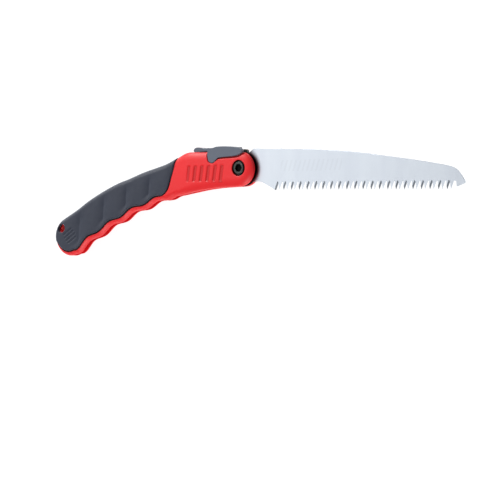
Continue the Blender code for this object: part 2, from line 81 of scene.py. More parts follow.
# Handle
HALF_THICKNESS = (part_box("handle_shell_right")[1].z - PIVOT.z) / MM
FREE = 0.3  # gap between neighbouring pieces
UNDER, OVER = -1.0, 12.0  # cutters for half of the handle run from past its middle plane to past its face
SLOT_HALF = 2.2
SEAM = 0.15
CHEEK_RIM, GRIP_RIM = 3.2, 4.6
CHEEK_ROUNDING = 7.0
GRIP_HALF_THICKNESS = 6.5
GRIP_CROWN = 0.5
GRIP_START, GRIP_FULL = 48.0, 66.0
RIM_POWER = 1.65
CENTRE_LINE = ((-1.0, -0.7), (-30.0, -1.1), (-58.0, -4.2), (-86.0, -11.6), (-112.0, -20.4),
               (-138.0, -31.2), (-163.0, -43.2), (-186.0, -54.2))
SPINE_HEIGHTS = ((0, 14.1), (30, 15.0), (50, 17.2), (60, 15.9), (73, 13.9), (85, 14.1), (100, 15.0),
                 (115, 15.5), (131, 17.0), (160, 17.5), (178, 16.3), (195, 15.9))
FINGER_HEIGHTS = ((0, 14.1), (30, 15.1), (60, 16.0), (78, 14.9), (95, 14.4), (120, 14.1), (150, 14.5),
                  (165, 14.8), (176, 15.6), (190, 17.6), (195, 17.2))
SCALLOP_START, SCALLOP_PITCH, SCALLOP_DEPTH = 77.8, 28.2, 1.25
DEEP = 99.0  # further in from an edge than any rounding goes
SHELL_VOXEL = 0.36

# Slanted bars sunk in the cheeks
BAR_START, BAR_PITCH, BAR_COUNT, BAR_WIDTH, BAR_SLOPE = -54.5, 6.9, 6, 3.4, 0.16
BAR_ENDS = (-10.4, 3.0)
BAR_CORNER = 1.1
BAR_DEPTH = 0.6

# Rubber grip
GRIP_PROUD = 0.8
GRIP_INLAY = 1.2
GRIP_RIM_WIDTH = 3.5
GRIP_GROOVE = 1.0
GRIP_ROLL = 0.9
BED_INSET, BED_FLOOR = 1.6, -2.0
BED_REACH = 0.22  # painted shade darkens the shell's surface within this of the bed
GRIP_FRONT = ((-62.0, 22.0), (-65.7, 8.5), (-67.6, 1.5), (-70.6, -7.0), (-73.0, -14.0), (-75.3, -17.6),
              (-78.5, -20.2), (-83.0, -21.9), (-92.0, -23.0))
GRIP_FRONT_LIMITS = (50.0, 96.0)  # the grip's front edge lies between these distances along the handle
GRIP_FRONT_FOOT = -18.5  # below this the front edge turns into the edge along the fingers
GRIP_TAIL_START, GRIP_TAIL_END = 180.0, 224.0
CREASES = (-68.0, -93.3, -117.7, -142.0, -168.0, -204.0)
CREASE_LEAN, CREASE_DEPTH, CREASE_POWER = 0.1, 1.4, 2.8
GROOVES_CENTRE, GROOVE_ANGLE, GROOVE_LENGTH = (-183.0, -54.5), 34.0, 14.0
GROOVE_PITCH, GROOVE_COUNT, GROOVE_DEPTH = 2.9, 4, 0.6
LANYARD_CENTRE, LANYARD_RADIUS = (-193.2, -47.8), 3.6
LANYARD_BOSS = 6.6
LANYARD_FLARE = ((0.0, 1.5), (0.2, 0.8), (0.6, 0.35), (1.2, -0.2))  # out from the hole, down from the top

# Inside of the handle
SCREW_PLACES = ((-57.0, 4.6), (-92.0, -4.4), (-128.0, -16.4), (-163.0, -32.0))
SCREW_RADIUS, SCREW_HEAD_RADIUS, SCREW_HEAD_HEIGHT = 1.5, 2.8, 1.65
SCREW_SEAT, SCREW_END = -3.6, 4.2
SCREW_SLIT, SCREW_SLIT_DEPTH = (2.0, 0.4), 0.95
SLOT_ROOF = ((-34.0, 5.9), (-51.0, 5.9), (-60.0, -1.0), (-92.0, -10.4), (-128.0, -23.4), (-163.0, -39.0),
             (-180.0, -50.0))
WALL_TOP = 12.7
SKIN = 5.0  # the bars and the pivot's recess are further than this from the middle plane

# Lock lever
CAP_HALF_WIDTH, CAP_FLOOR = 7.8, -9.0
CAP_VOXEL = 0.22
EAR_INNER = 4.5
EAR_LOBE_RADIUS, EAR_POCKET_RADIUS = 4.2, 4.65
ROOF = 15.1  # underside of the cap between its ears
TAB_HALF_WIDTH, TAB_GAP = 4.2, 0.5
CORE_HALF, CORE_ROOM = 1.5, 1.8
PIN_HOLE_RADIUS = 1.75
SPRING_PLACE, SPRING_LOW, SPRING_HIGH = -41.0, 7.9, 11.3
SPRING_RADIUS, SPRING_WIRE, SPRING_TURNS = 1.7, 0.3, 4.5

# Pivot
HEAD_RECESS_RADIUS, HEAD_RECESS_DEPTH = 6.5, 3.5
RECESS_SHADE = 1.2  # the recess is fully dark from this far down
BOLT_RADIUS, BOLT_HEAD_RADIUS, BOLT_HEAD_HEIGHT = 3.0, 5.1, 1.9
BOLT_HEAD_FLAT, BOLT_END = 3.9, 1.8
WASHER_SPACE = 1.3
HEX_RADIUS, HEX_FLOOR = 6.0 / math.sqrt(3), 0.4
NUT_RADIUS, NUT_THICKNESS = 5.6, 3.2
SPANNER_PLACES, SPANNER_RADIUS, SPANNER_DEPTH = (-3.9, 3.9), 0.8, 1.2

# Blade
BLADE_HALF = 0.65
PLAIN_EDGE = 0.9 * BLADE_HALF
SPINE_CHAMFER, SPINE_EDGE = 0.5, 0.2
TIP_CHAMFER, TIP_EDGE, TIP_PLACES = 0.1, 0.55, (172.0, 200.0)
NOSE_SHADE_RADII = (13.2, 18.0)  # painted shade darkens the blade this close round the pivot, beside the handle's nose
TANG_RADIUS = 12.0
BORE_RADIUS = 4.2
SHOULDER = (5.6, 12.3)
NOTCH_MOUTH, NOTCH_FLOOR = (4.9, -1.7), ((4.8, 10.2), (-1.5, 10.2))
HEEL_BEARING = 285.0
FIRST_TOOTH = (31.9, -18.3)
TOOTH_COUNT, TOOTH_PITCH, TOOTH_HEIGHT = 44, 3.77, 6.6
GULLET_PLACE = 2.8
TOOTH_LINE_SLOPE = -0.0126
TOOTH_EDGE = 0.45
GULLET_WIDTH = 0.12
BEVEL_FOOT = (0.05, 2.7)  # from a tooth's tip to where its two ground bevels meet the blade's face
BEVEL_RISE, LEFT_BEVEL = 0.5, 0.75
BLADE_SPINE = ((6.6, 15.9), (46.0, 14.7), (85.0, 12.4), (113.0, 9.7), (140.0, 6.0), (167.0, 2.1),
               (190.0, -1.9), (198.0, -4.6), (202.6, -9.0), (206.2, -14.2))
BLADE_TIP = ((206.2, -15.4), (204.7, -16.2), (199.1, -18.2), (198.6, -14.2))
BLADE_HEEL = ((31.3, -17.95), (28.5, -16.4), (23.5, -13.9), (18.6, -11.7), (14.6, -11.0), (9.6, -11.4))

# Etched band of dashes on the blade
ETCHED_ALONG, ETCHED_ACROSS = (37.0, 96.0), (-3.5, 5.5)
DASH_SLANT, DASH_HALF_PITCH, DASH_START = 0.35, 2.2, 1.3

# Camera: its distance from the pivot, its turn about the spine's direction, and its place along it
VIEW_TURN, VIEW_DISTANCE, VIEW_ALONG, VIEW_ASIDE = 37.0, 1527.0, -58.2, -3.2
LENS = 141.3

# Lights: name, direction from the saw, distance, diameter and brightness
LIGHTS = (("left", (-0.64, 0.10, 0.76), 1.7, 1.35, 1.15),
          ("upper_left", (-0.50, 0.75, 0.50), 1.6, 0.8, 13.0),
          ("below", (0.20, -0.85, 0.50), 1.6, 1.1, 5.2))
WORLD_STRENGTH = 0.30
FLOOR_HALF, FLOOR_GAP = 4.0, 0.0002


# ---- Curves ----

def smooth(points, steps):
    """Points along the Catmull-Rom curve through the given points, steps to each stretch."""
    first = [2 * a - b for a, b in zip(points[0], points[1])]
    last = [2 * a - b for a, b in zip(points[-1], points[-2])]
    knots = [first] + [list(p) for p in points] + [last]
    curve = []
    for before, start, end, after in zip(knots, knots[1:], knots[2:], knots[3:]):
        for step in range(steps):
            t = step / steps
            curve.append(tuple(0.5 * (2 * b + (c - a) * t + (2 * a - 5 * b + 4 * c - d) * t * t
                                      + (3 * b - a - 3 * c + d) * t ** 3)
                               for a, b, c, d in zip(before, start, end, after)))
    curve.append(tuple(points[-1]))
    return curve


def read_curve(curve, at):
    """The second value of a rising curve of (place, value) pairs at a place."""
    for (x0, y0), (x1, y1) in zip(curve, curve[1:]):
        if at <= x1:
            return y0 + (y1 - y0) * max(0.0, (at - x0) / (x1 - x0))
    return curve[-1][1]


def ease(low, high, at):
    t = min(1.0, max(0.0, (at - low) / (high - low)))
    return t * t * (3 - 2 * t)


def arc(centre, radius, start, end, steps):
    """Points on an arc, from one angle in degrees to another."""
    turn = [math.radians(start + (end - start) * i / steps) for i in range(steps + 1)]
    return [(centre[0] + radius * math.cos(a), centre[1] + radius * math.sin(a)) for a in turn]


def turned(points, degrees):
    c, s = math.cos(math.radians(degrees)), math.sin(math.radians(degrees))
    return [(x * c - y * s, x * s + y * c) for x, y in points]


def circle(centre, radius, sides):
    return arc(centre, radius, 0, 360 - 360 / sides, sides - 1)


def rectangle(left, low, right, high):
    return [(left, low), (right, low), (right, high), (left, high)]


def fillet(profile, radii, steps=4):
    """A closed (x, y) outline with its corners rounded by the given radii."""
    rounded = []
    count = len(profile)
    for i in range(count):
        here = Vector(profile[i])
        before, after = Vector(profile[i - 1]) - here, Vector(profile[(i + 1) % count]) - here
        reach = min(radii[i], before.length / 2.1, after.length / 2.1)
        if reach < 1e-6:
            rounded.append(tuple(here))
            continue
        start, end = here + before.normalized() * reach, here + after.normalized() * reach
        for k in range(steps + 1):
            t = k / steps
            rounded.append(tuple(start * (1 - t) ** 2 + here * 2 * t * (1 - t) + end * t * t))
    return rounded


# ---- Meshes ----

def added(name, data):
    """A new object in the scene."""
    made = bpy.data.objects.new(name, data)
    bpy.context.scene.collection.objects.link(made)
    return made


def new_object(name, mesh, weld=1e-4):
    """An object from a mesh in millimetres from the pivot and the middle plane."""
    if weld:
        bmesh.ops.remove_doubles(mesh, verts=mesh.verts, dist=weld)
    bmesh.ops.recalc_face_normals(mesh, faces=mesh.faces)
    bmesh.ops.scale(mesh, verts=mesh.verts, vec=(MM, MM, MM))
    bmesh.ops.translate(mesh, verts=mesh.verts, vec=PIVOT)
    data = bpy.data.meshes.new(name)
    mesh.to_mesh(data)
    mesh.free()
    return added(name, data)


def cut(target, mesh, operation="DIFFERENCE"):
    tool = new_object("cutter", mesh)
    cut_with(target, tool, operation)
    bpy.data.objects.remove(tool, do_unlink=True)


def cut_with(target, tool, operation="DIFFERENCE"):
    step = target.modifiers.new("cut", "BOOLEAN")
    step.operation = operation
    step.solver = "MANIFOLD"
    step.object = tool
    settle(target)


def shaped(target):
    """The mesh that an object's modifiers or curve settings give."""
    bpy.context.view_layer.update()
    return bpy.data.meshes.new_from_object(target.evaluated_get(bpy.context.evaluated_depsgraph_get()))


def settle(target):
    """Makes the target's modifiers part of its mesh."""
    data = shaped(target)
    target.modifiers.clear()
    target.data = data


def soften(target, voxel, repeats, keep):
    """Rebuilds the mesh evenly and rounds its edges a little, as a moulding's are."""
    remesh = target.modifiers.new("even", "REMESH")
    remesh.mode = "VOXEL"
    remesh.voxel_size = voxel * MM
    easing = target.modifiers.new("soft", "SMOOTH")
    easing.factor = 0.5
    easing.iterations = repeats
    fewer = target.modifiers.new("fewer", "DECIMATE")
    fewer.ratio = keep
    settle(target)


def bevel(target, width, segments=2, angle=35):
    step = target.modifiers.new("rounded", "BEVEL")
    step.width = width * MM
    step.segments = segments
    step.limit_method = "ANGLE"
    step.angle_limit = math.radians(angle)
    step.harden_normals = True
    settle(target)


def finished(target, body, slot, look, *nodes, smooth_angle=30):
    """Gives a piece its body and material, hides the CAD nodes it stands for, and keeps it in the CAD box."""
    for vertex in target.data.vertices:
        vertex.co = [min(max(value, low), high) for value, low, high in zip(vertex.co, *cad_box)]
    target.data.materials.clear()
    target.data.materials.append(look)
    target.data.shade_smooth()
    if smooth_angle:
        target.data.set_sharp_from_angle(angle=math.radians(smooth_angle))
    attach(target, body)
    if nodes:
        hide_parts(*nodes)
    return target


def prism(outline, low, high):
    mesh = bmesh.new()
    base = mesh.faces.new([mesh.verts.new((x, y, low)) for x, y in outline])
    top = bmesh.ops.extrude_face_region(mesh, geom=[base])["geom"]
    moved = [v for v in top if isinstance(v, bmesh.types.BMVert)]
    bmesh.ops.translate(mesh, verts=moved, vec=(0, 0, high - low))
    return mesh


def turned_profile(profile, centre=(0.0, 0.0), sides=64):
    """A solid of revolution about an axis along Z, from its closed (radius, height) profile."""
    mesh = bmesh.new()
    rings = []
    for side in range(sides):
        c, s = math.cos(2 * math.pi * side / sides), math.sin(2 * math.pi * side / sides)
        rings.append([mesh.verts.new((centre[0] + r * c, centre[1] + r * s, z)) for r, z in profile])
    for ring, following in zip(rings, rings[1:] + rings[:1]):
        for k in range(len(profile)):
            n = (k + 1) % len(profile)
            mesh.faces.new((ring[k], following[k], following[n], ring[n]))
    bmesh.ops.remove_doubles(mesh, verts=mesh.verts, dist=1e-5)
    return mesh


def on_side(mesh, side):
    """The mesh as it is for the right side, or mirrored in the middle plane for the left."""
    if side == "left":
        bmesh.ops.scale(mesh, verts=mesh.verts, vec=(1, 1, -1))
        bmesh.ops.reverse_faces(mesh, faces=mesh.faces)
    return mesh


# ---- Handle ----

class Handle:
    """The handle's outline, as distances from its centre line, and its thickness."""

    def __init__(self):
        self.centres = smooth(CENTRE_LINE, 30)
        self.spine = smooth(SPINE_HEIGHTS, 6)
        self.fingers = smooth(FINGER_HEIGHTS, 6)
        self.places = [0.0]
        for before, after in zip(self.centres, self.centres[1:]):
            self.places.append(self.places[-1] + math.dist(before, after))
        self.length = self.places[-1]

    def centre(self, along):
        """The centre line's point at a distance from its start, and the direction to the spine there."""
        share = min(max(along, 0.0), self.length)
        number = next(i for i, place in enumerate(self.places[1:]) if share <= place)
        start, end = Vector(self.centres[number]), Vector(self.centres[number + 1])
        step = self.places[number + 1] - self.places[number]
        before = Vector(self.centres[max(number - 1, 0)])
        after = Vector(self.centres[min(number + 2, len(self.centres) - 1)])
        near, far = (end - before).normalized(), (after - start).normalized()
        t = (share - self.places[number]) / step
        tangent = (near * (1 - t) + far * t).normalized()
        return start + (end - start) * t, Vector((tangent.y, -tangent.x))

    def edge(self, along, side):
        """The outline's point across from the centre line, on the spine or the fingers side."""
        centre, outward = self.centre(along)
        if side == "spine":
            return centre + outward * read_curve(self.spine, along)
        wave = math.cos(2 * math.pi * (along - SCALLOP_START) / SCALLOP_PITCH)
        depth = SCALLOP_DEPTH * ease(SCALLOP_START - SCALLOP_PITCH / 2, SCALLOP_START, along)
        return centre - outward * (read_curve(self.fingers, along) + depth * wave)

    def end_arc(self, along, start_side, count):
        """(centre, point, angle) round an end of the handle, anticlockwise from one side to the other."""
        hub = self.centre(along)[0]
        end_side = "fingers" if start_side == "spine" else "spine"
        start, end = self.edge(along, start_side) - hub, self.edge(along, end_side) - hub
        a0 = math.atan2(start.y, start.x)
        span = (math.atan2(end.y, end.x) - a0) % (2 * math.pi)
        points = []
        for k in range(1, count):
            t = k / count
            radius = start.length + (end.length - start.length) * ease(0, 1, t)
            angle = a0 + span * t
            place = hub + Vector((math.cos(angle), math.sin(angle))) * radius
            points.append((hub, place, math.degrees(angle) % 360))
        return points

    def rays(self, count, fan):
        """(centre, edge point, distance along) round the whole outline, anticlockwise from the nose."""
        places = [self.length * i / count for i in range(count + 1)]
        rays = [(self.centre(s)[0], self.edge(s, "spine"), s) for s in places]
        rays += [(hub, point, self.length) for hub, point, _ in self.end_arc(self.length, "spine", fan)]
        rays += [(self.centre(s)[0], self.edge(s, "fingers"), s) for s in reversed(places)]
        rays += [(hub, point, 0.0) for hub, point, _ in self.end_arc(0.0, "fingers", fan)]
        return rays

    @staticmethod
    def rim(along):
        return CHEEK_RIM + (GRIP_RIM - CHEEK_RIM) * ease(GRIP_START, GRIP_FULL, along)

    @staticmethod
    def rounding(along):
        """How far in from the edge the surface is still curved."""
        return CHEEK_ROUNDING + (GRIP_RIM - CHEEK_ROUNDING) * ease(GRIP_START, GRIP_FULL, along)

    def height(self, along, depth, reach):
        """Half thickness at a depth in from the edge, on a ray of the given reach."""
        slim = ease(GRIP_START, GRIP_FULL, along)
        face = HALF_THICKNESS + (GRIP_HALF_THICKNESS - HALF_THICKNESS) * slim
        rim = self.rim(along)
        crown = GRIP_CROWN * slim * (1 - (1 - min(1.0, depth / reach)) ** 2)
        inside = min(1.0, max(0.0, 1 - depth / self.rounding(along)))
        return face - rim + rim * (1 - inside ** RIM_POWER) ** (1 / RIM_POWER) + crown

    def solid(self, floor, inset=0.0, lift=0.0, count=190, fan=44):
        """Half of the handle above a height, drawn in by inset and raised by lift."""
        mesh = bmesh.new()
        rows = []
        for centre, edge, along in self.rays(count, fan):
            reach = (edge - centre).length
            inward = (centre - edge) / reach
            width = self.rounding(along)
            depths = [width * (1 - math.cos(math.radians(7.5 * k))) for k in range(13)]
            depths += [width + (reach - inset - width) * k / 6 for k in range(1, 7)]
            row = [mesh.verts.new((*(edge + inward * inset), floor))]
            for depth in depths:
                place = edge + inward * (depth + inset)
                row.append(mesh.verts.new((*place, self.height(along, depth, reach - inset) + lift)))
            rows.append(row)
        for row, following in zip(rows, rows[1:] + rows[:1]):
            for k in range(len(row) - 1):
                mesh.faces.new((row[k], following[k], following[k + 1], row[k + 1]))
        mesh.faces.new([row[0] for row in rows])
        bmesh.ops.remove_doubles(mesh, verts=mesh.verts, dist=1e-3)
        mesh.normal_update()
        bmesh.ops.triangulate(mesh, faces=mesh.faces)
        return mesh


HANDLE = Handle()


def front_of_grip(share, side, shift):
    """How far along the handle the grip starts, at a share of the way from its edge to the centre line."""
    front = [(y, x - shift) for x, y in reversed(smooth(GRIP_FRONT, 6))]
    low, high = GRIP_FRONT_LIMITS
    for _ in range(24):
        middle = (low + high) / 2
        place = grip_point(middle, side, share, shift)[0]
        if place.x > read_curve(front, place.y):
            low = middle
        else:
            high = middle
    return low


def grip_point(along, side, share, shift=0.0):
    """A point of the grip's plan and its depth from the handle's edge, at a share of the way inwards."""
    centre = HANDLE.centre(along)[0]
    edge = HANDLE.edge(along, side)
    inset = GRIP_RIM_WIDTH + shift if side == "fingers" else 0.0
    reach = (centre - edge).length
    depth = inset + (reach - inset) * share
    return edge + (centre - edge) * (depth / reach), depth, reach, inset


def grip_outline():
    """The edge of the grip's bed in the shell. It runs out past the spine and the tail."""
    front = [p for p in smooth(GRIP_FRONT, 4) if p[1] > GRIP_FRONT_FOOT]
    start = front_of_grip(0.0, "fingers", 0.0)
    length = HANDLE.length
    places = [start + (length - start) * i / 90 for i in range(91)]
    edge = [grip_point(s, "fingers", 0.0)[0] for s in places]
    low = [p for p in smooth(GRIP_FRONT, 4) if GRIP_FRONT_FOOT >= p[1] and p[0] > edge[0].x]
    for hub, point, angle in reversed(HANDLE.end_arc(length, "spine", 40)):
        inset = tail_inset(angle)
        if inset > 0.6:
            edge.append(point + (hub - point).normalized() * inset)
    hub = HANDLE.centre(length)[0]
    return front + low + [tuple(p) for p in edge] + [(hub.x - 40, edge[-1].y - 2.0), (hub.x - 40, 30.0)]


def tail_inset(angle, shift=0.0):
    """How far in from the tail's edge the grip stays, by the direction from the tail's centre."""
    return (GRIP_RIM_WIDTH + shift) * ease(GRIP_TAIL_START, GRIP_TAIL_END, angle)


def slot_outline():
    boss = arc(LANYARD_CENTRE, LANYARD_BOSS, -20, -135, 12)
    return ([(30.0, 40.0), (-33.0, 40.0), SLOT_ROOF[0]] + smooth(SLOT_ROOF[1:], 6) + boss
            + [(-212.0, -58.0), (-212.0, -90.0), (30.0, -90.0)])


def ear_pocket(side):
    """The lever's ear sits in this pocket, which is shorter on the left side."""
    lobe = [(-32.9, 30.0), (-32.9, 11.0), *arc(LEVER_PIN, EAR_POCKET_RADIUS, 195, 300, 14)]
    if side == "left":
        front = ((-20.5, 7.7), (-11.0, 7.9), (-7.4, 9.6), (-5.4, 13.0), (-4.8, 18.0))
        return lobe + smooth(front, 5) + [(-4.0, 30.0)]
    front = ((-20.5, 7.7), (-5.5, 8.3), (0.2, 8.9), (3.4, 11.0), (5.3, 13.2), (6.4, 18.0))
    return lobe + smooth(front, 5) + [(8.0, 30.0)]


def cheek_bars():
    """Outlines of the slanted bars sunk in the cheeks."""
    bars = []
    for number in range(BAR_COUNT):
        x = BAR_START + BAR_PITCH * number
        low, high = BAR_ENDS
        lean = BAR_SLOPE * (high - low)
        bar = [(x, low), (x + BAR_WIDTH, low), (x + BAR_WIDTH + lean, high), (x + lean, high)]
        bars.append(fillet(bar, (BAR_CORNER,) * 4))
    return bars


def build_shell(side, look):
    """Half of the handle with its pockets, holes and bars, and a bed for the rubber."""
    shell = new_object(f"shell_{side}", on_side(HANDLE.solid(SEAM), side))
    bed = new_object("bed", on_side(prism(grip_outline(), UNDER, OVER), side))
    cut(bed, on_side(HANDLE.solid(BED_FLOOR, BED_INSET, -GRIP_INLAY, count=120, fan=30), side))
    cut_with(shell, bed)
    bed_surface = BVHTree.FromObject(bed, bpy.context.evaluated_depsgraph_get())
    bpy.data.objects.remove(bed, do_unlink=True)
    wall = rectangle(-33.2, WALL_TOP, 5.3, 30.0)
    tab = rectangle(-50.0, 7.4, -33.0, 30.0)
    lanyard = rectangle(0.0, UNDER, LANYARD_RADIUS, OVER)
    bore = BOLT_RADIUS + FREE
    recess, depth = HEAD_RECESS_RADIUS, HEAD_RECESS_DEPTH
    if side == "left":
        recess, depth = NUT_RADIUS + FREE, NUT_THICKNESS + FREE
    seat = HALF_THICKNESS - depth
    pivot = [(0.0, 0.0), (bore, 0.0), (bore, seat), (recess, seat), (recess, OVER), (0.0, OVER)]
    cutters = [prism(slot_outline(), UNDER, SLOT_HALF),
               prism(ear_pocket(side), EAR_INNER - FREE, OVER),
               prism(wall, UNDER, EAR_INNER + 0.5),
               prism(tab, UNDER, TAB_HALF_WIDTH + TAB_GAP),
               prism(circle(LEVER_PIN, PIN_HOLE_RADIUS, 24), 1.0, EAR_INNER + 0.5),
               turned_profile(lanyard, LANYARD_CENTRE, 48),
               turned_profile(pivot)]
    cutters += [prism(bar, HALF_THICKNESS - BAR_DEPTH, OVER) for bar in cheek_bars()]
    for cutter in cutters:
        cut(shell, on_side(cutter, side))
    if side == "left":
        for place in SCREW_PLACES:
            cut(shell, screw_hole(place))
    soften(shell, SHELL_VOXEL, 9, 0.55)
    mark_shell(shell, bed_surface)
    return finished(shell, "handle", "red_plastic", look, f"handle_shell_{side}", smooth_angle=0)


def mark_points(target, name, values):
    """Gives each point of a mesh a number that its material can read."""
    attribute = target.data.attributes.new(name, "FLOAT", "POINT")
    attribute.data.foreach_set("value", values)


def mark_shell(shell, bed_surface):
    """Marks for the material how far each point is down in the cheek's bars, and where no light gets in:
    in the rubber's bed, round the pivot's recess and in the slot at the nose."""
    sunk, dark = [], []
    low, high = BAR_ENDS
    for vertex in shell.data.vertices:
        x, y, z = (vertex.co - PIVOT) / MM
        surface = HANDLE.height(max(0.0, -x), DEEP, DEEP)
        across = x - BAR_START - BAR_WIDTH / 2 - BAR_SLOPE * (y - low)
        nearest = min(max(round(across / BAR_PITCH), 0), BAR_COUNT - 1) * BAR_PITCH
        in_bar = low - 1 < y < high + 1 and abs(z) > SKIN and abs(across - nearest) < BAR_WIDTH / 2 + 0.5
        sunk.append(ease(surface - 0.15, surface - BAR_DEPTH + 0.1, abs(z)) if in_bar else 0.0)
        radius = math.hypot(x, y)
        in_recess = radius < HEAD_RECESS_RADIUS + 0.5 and abs(z) > SLOT_HALF + 0.5
        in_slot = radius < TANG_RADIUS + 5.0 and x > -4.0 and abs(z) < SLOT_HALF + 0.1
        recess = ease(surface, surface - RECESS_SHADE, abs(z)) if in_recess else 0.0
        in_bed = bed_surface.find_nearest(vertex.co, BED_REACH * MM)[0] is not None
        dark.append(max(recess, 1.0 if in_slot or in_bed else 0.0))
    mark_points(shell, "sunk", sunk)
    mark_points(shell, "dark", dark)


def screw_hole(place):
    """A cutter for one screw, from past the left face to past the middle plane."""
    wide, thin = SCREW_HEAD_RADIUS + FREE, SCREW_RADIUS + FREE
    top, low = -UNDER, -20.0
    profile = [(0.0, top), (0.0, low), (wide, low), (wide, SCREW_SEAT), (thin, SCREW_SEAT), (thin, top)]
    return turned_profile(profile, place, 32)


def grip_detail(place):
    """How far creases between its panels, and thumb grooves, lower the grip's surface at a place."""
    x, y = place
    crease = 0.0
    for right, left in zip(CREASES, CREASES[1:]):
        if left < x - CREASE_LEAN * y <= right:
            t = (x - CREASE_LEAN * y - left) / (right - left)
            crease = -CREASE_DEPTH * abs(2 * t - 1) ** CREASE_POWER
    along = math.radians(GROOVE_ANGLE)
    dx, dy = x - GROOVES_CENTRE[0], y - GROOVES_CENTRE[1]
    down = dx * math.cos(along) + dy * math.sin(along)
    across = -dx * math.sin(along) + dy * math.cos(along)
    grooves = 0.0
    span = GROOVE_PITCH * GROOVE_COUNT / 2
    if abs(across) < span:
        wave = 0.5 - 0.5 * math.cos(2 * math.pi * across / GROOVE_PITCH)
        length = GROOVE_LENGTH / 2 * math.sqrt(1 - (across / (span + GROOVE_PITCH)) ** 2)
        grooves = -GROOVE_DEPTH * wave * (1 - ease(length - 1.8, length, abs(down)))
    return crease, grooves


def grip_lines():
    """Lines across half of the grip, from its edge to the centre line, round from the fingers to the spine.
    Each point is (place, depth, reach, inset, along, distance from the grip's front edge)."""
    columns, fan, rows = 300, 110, 44
    shares = [(k / rows) ** 1.3 for k in range(rows + 1)]
    length = HANDLE.length
    lines = {}
    for side in ("fingers", "spine"):
        starts = [front_of_grip(share, side, GRIP_GROOVE) for share in shares]
        lines[side] = []
        for i in range(columns + 1):
            line = []
            for share, start in zip(shares, starts):
                along = start + (length - start) * (i / columns) ** 1.12
                line.append((*grip_point(along, side, share, GRIP_GROOVE), along, (along - start) * 0.94))
            lines[side].append(line)
    tail = []
    for hub, point, angle in reversed(HANDLE.end_arc(length, "spine", fan)):
        inset = tail_inset(angle, GRIP_GROOVE)
        reach = (hub - point).length
        depths = [inset + (reach - inset) * share for share in shares]
        tail.append([(point + (hub - point) * (d / reach), d, reach, inset, length, DEEP) for d in depths])
    return lines["fingers"] + tail + lines["spine"][::-1]


def grip_column(line):
    """Points over one line of the grip, from the rim in: its outer skin and its underside."""
    place, depth, reach, inset, along, _ = line[0]
    on_spine = inset < 0.3
    outer = [(*p[0], grip_height(*p)) for p in line]
    foot = SEAM if on_spine else HANDLE.height(along, depth, reach) - GRIP_INLAY + FREE
    outer = [(*place, foot + (outer[0][2] - foot) * k / 4) for k in range(4)] + outer
    under = []
    for place, depth, reach, inset, along, _ in line:
        inward = HANDLE.centre(along)[0] - place
        shift = 1.3 * (1 - (depth - inset) / (reach - inset))
        moved = place + inward.normalized() * min(shift, inward.length) if inward.length > 1e-6 else place
        under.append((*moved, HANDLE.height(along, depth, reach) - GRIP_INLAY + FREE))
    low = SEAM if on_spine else under[0][2] - 0.05
    under = [(*under[0][:2], low + (under[0][2] - low) * k / 4) for k in range(4)] + under
    return outer, under


def build_grip(side, look):
    """The rubber grip, as a grid that follows the handle round from the fingers to the spine."""
    mesh = bmesh.new()
    columns = [[[mesh.verts.new(p) for p in layer] for layer in grip_column(line)] for line in grip_lines()]
    for (outer, under), (next_outer, next_under) in zip(columns, columns[1:]):
        for k in range(len(outer) - 1):
            mesh.faces.new((outer[k], next_outer[k], next_outer[k + 1], outer[k + 1]))
            mesh.faces.new((under[k], under[k + 1], next_under[k + 1], next_under[k]))
        mesh.faces.new((outer[0], under[0], next_under[0], next_outer[0]))
    for outer, under in (columns[0], columns[-1]):
        for k in range(len(outer) - 1):
            mesh.faces.new((outer[k], outer[k + 1], under[k + 1], under[k]))
    grip = new_object(f"grip_skin_{side}", on_side(mesh, side), weld=2e-3)
    radius = LANYARD_RADIUS + 0.1
    top = GRIP_HALF_THICKNESS + GRIP_PROUD + GRIP_CROWN
    flare = [(radius + out, top - down) for out, down in LANYARD_FLARE]
    hole = [(0.0, UNDER), (radius, UNDER), *flare, (flare[-1][0], OVER), (0.0, OVER)]
    cut(grip, on_side(turned_profile(hole, LANYARD_CENTRE, 64), side))
    return finished(grip, "handle", "grip_rubber", look, f"grip_{side}", smooth_angle=50)


def grip_height(place, depth, reach, inset, along, from_front):
    """Height of the grip's skin over the middle plane, with its rolled edges."""
    height = HANDLE.height(along, depth, reach) + GRIP_PROUD
    crease, grooves = grip_detail(place)
    low_side = inset / (GRIP_RIM_WIDTH + GRIP_GROOVE)
    height += crease * ease(3.0 * (1 - low_side), 13.5 - 8.5 * low_side, depth - inset)
    height += grooves * ease(0.0, 4.0, depth - inset)
    nearest = from_front if inset < 0.3 else min(from_front, depth - inset)
    if nearest < GRIP_ROLL:
        gone = 1 - max(0.0, nearest) / GRIP_ROLL
        height -= GRIP_ROLL * (1 - math.sqrt(max(0.0, 1 - gone * gone)))
    return height


# ---- Pivot, screws and lever fittings ----

